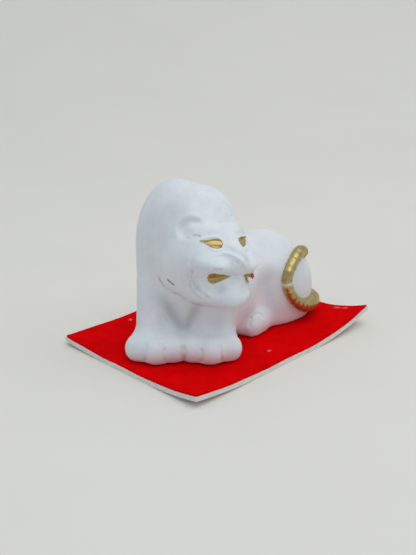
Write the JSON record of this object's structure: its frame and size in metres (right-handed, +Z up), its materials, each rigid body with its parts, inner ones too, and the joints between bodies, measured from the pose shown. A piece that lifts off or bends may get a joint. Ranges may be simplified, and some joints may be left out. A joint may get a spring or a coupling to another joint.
{
  "type": "tiger figurine",
  "caption": "Small white ceramic tiger, seated with its head turned, gilded eyes, mouth and tail, standing loose on a red felt display mat with curled corners.",
  "frame": {"origin": "middle of the mat's flat underside, on the table", "axes": "+X along the mat's long side towards the tiger's rump, -Y the side its face looks to, +Z up"},
  "size_m": [0.084, 0.062, 0.058],
  "materials": {
    "white_bisque": "matte white slip over fired clay",
    "gold_lustre": "worn gold paint over fired clay",
    "red_felt": "pressed red felt",
    "white_board": "solid white pasteboard"
  },
  "bodies": {
    "mat": {"mat_felt": "red_felt", "mat_board": "white_board"},
    "figure": {"body_casting": "white_bisque", "head_casting": "white_bisque", "tail_roll": "gold_lustre", "left_eye_gilding": "gold_lustre", "right_eye_gilding": "gold_lustre", "left_mouth_gilding": "gold_lustre", "right_mouth_gilding": "gold_lustre"}
  },
  "joints": [
    {"name": "figure_lift", "type": "slide", "parent": "mat", "child": "figure", "axis": [0, 0, 1], "range_m": [0, 0.03]}
  ]
}
